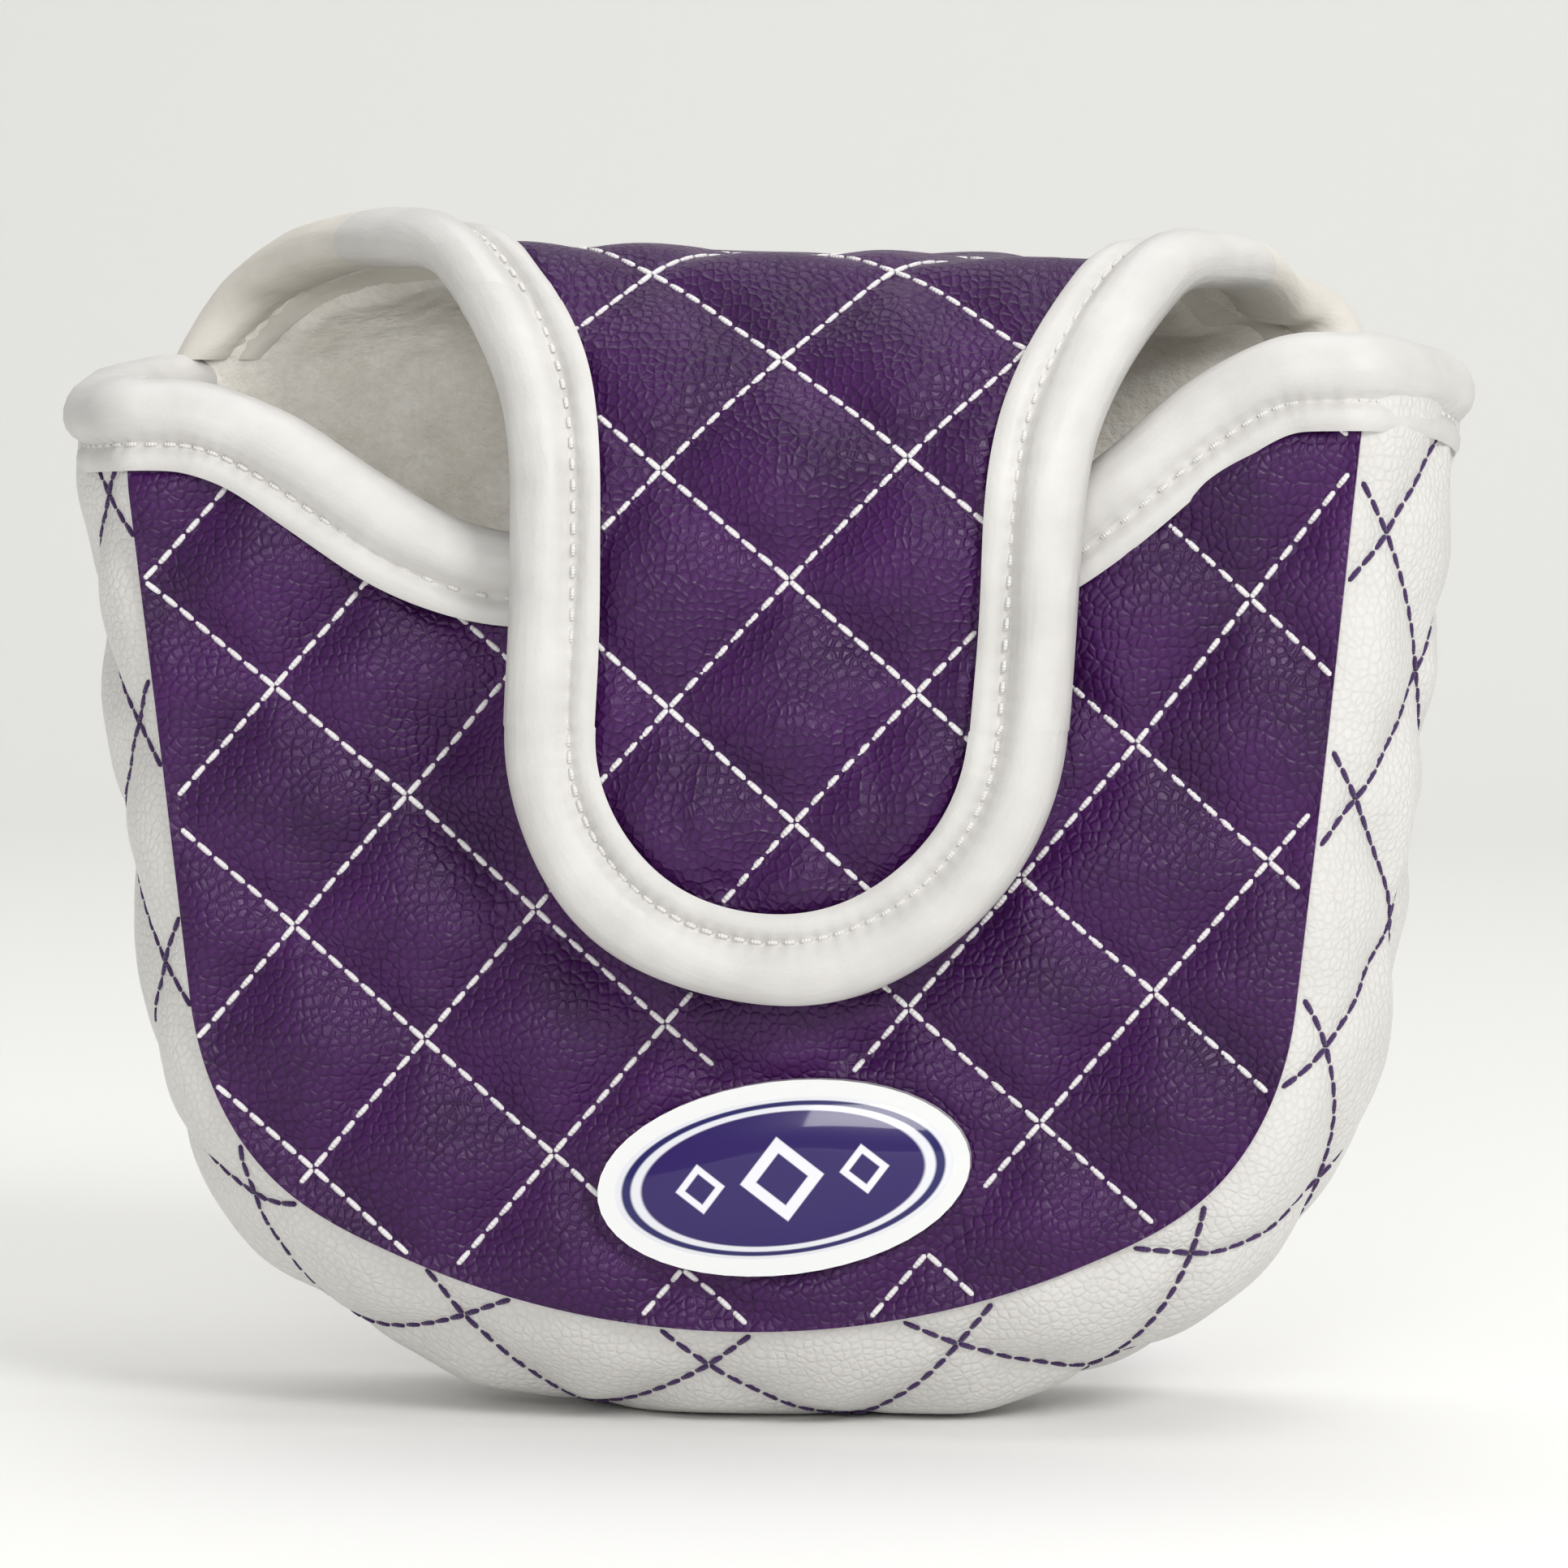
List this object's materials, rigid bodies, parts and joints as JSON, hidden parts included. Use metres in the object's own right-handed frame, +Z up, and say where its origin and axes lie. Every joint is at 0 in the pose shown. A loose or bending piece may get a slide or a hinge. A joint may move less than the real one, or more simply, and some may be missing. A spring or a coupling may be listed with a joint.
{
  "type": "putter head cover",
  "caption": "Quilted, padded pocket for a mallet putter head, with a wide gusset, bound edges and a fold-over flap held shut by magnets.",
  "frame": {"origin": "on the floor, under the middle of the pocket's flattened bottom", "axes": "+X across the cover, +Y from the flap side to the back panel, +Z up through the mouth"},
  "size_m": [0.149, 0.055, 0.125],
  "materials": {
    "purple_leather": "pebbled coated leatherette, soft sheen",
    "white_leather": "pebbled coated leatherette, soft sheen",
    "binding_leather": "smooth coated leatherette tape",
    "foam": "open-cell foam",
    "plush_lining": "short pile fleece",
    "white_thread": "polyester sewing thread",
    "magnet": "nickel-plated disc",
    "cup_plastic": "moulded",
    "badge_adhesive": "double-sided film",
    "badge_body": "moulded, glossy",
    "badge_inlay": "printed film",
    "badge_dome": "clear poured resin"
  },
  "bodies": {
    "root": {"front_cover": "purple_leather", "front_padding": "foam", "front_lining": "plush_lining", "front_quilting": "white_thread", "gusset_cover": "white_leather", "gusset_padding": "foam", "gusset_lining": "plush_lining", "mouth_binding": "binding_leather", "back_cover": "purple_leather", "back_padding": "foam", "back_lining": "plush_lining", "back_quilting": "white_thread", "back_binding": "binding_leather", "pocket_magnet": "magnet", "pocket_magnet_cup": "cup_plastic", "badge_adhesive": "badge_adhesive", "badge_body": "badge_body", "badge_inlay": "badge_inlay", "badge_dome": "badge_dome"},
    "fold_rear": {"fold_rear_cover": "purple_leather", "fold_rear_padding": "foam", "fold_rear_lining": "plush_lining", "fold_rear_binding": "binding_leather"},
    "fold_top": {"fold_top_cover": "purple_leather", "fold_top_padding": "foam", "fold_top_lining": "plush_lining", "fold_top_binding": "binding_leather"},
    "fold_front": {"fold_front_cover": "purple_leather", "fold_front_padding": "foam", "fold_front_lining": "plush_lining", "fold_front_binding": "binding_leather"},
    "flap": {"flap_cover": "purple_leather", "flap_padding": "foam", "flap_lining": "plush_lining", "flap_binding": "binding_leather", "flap_quilting": "white_thread", "flap_magnet": "magnet", "flap_magnet_cup": "cup_plastic"}
  },
  "joints": [
    {"name": "flap_lift", "type": "hinge", "parent": "root", "child": "fold_rear", "pos_m": [0, 0.02193, 0.11636], "axis": [-1, 0, 0], "range_deg": [0, 45]},
    {"name": "fold_top_bend", "type": "hinge", "parent": "fold_rear", "child": "fold_top", "pos_m": [0, 0.01436, 0.12393], "axis": [-1, 0, 0], "range_deg": [0, 45]},
    {"name": "fold_front_bend", "type": "hinge", "parent": "fold_top", "child": "fold_front", "pos_m": [0, -0.01367, 0.12401], "axis": [-1, 0, 0], "range_deg": [0, 45]},
    {"name": "flap_drop_bend", "type": "hinge", "parent": "fold_front", "child": "flap", "pos_m": [0, -0.02911, 0.10632], "axis": [-1, 0, 0], "range_deg": [0, 45]}
  ],
  "couplings": [
    {"joint": "fold_top_bend", "follows": "flap_lift", "ratio": 1},
    {"joint": "fold_front_bend", "follows": "flap_lift", "ratio": 1},
    {"joint": "flap_drop_bend", "follows": "flap_lift", "ratio": 1}
  ]
}
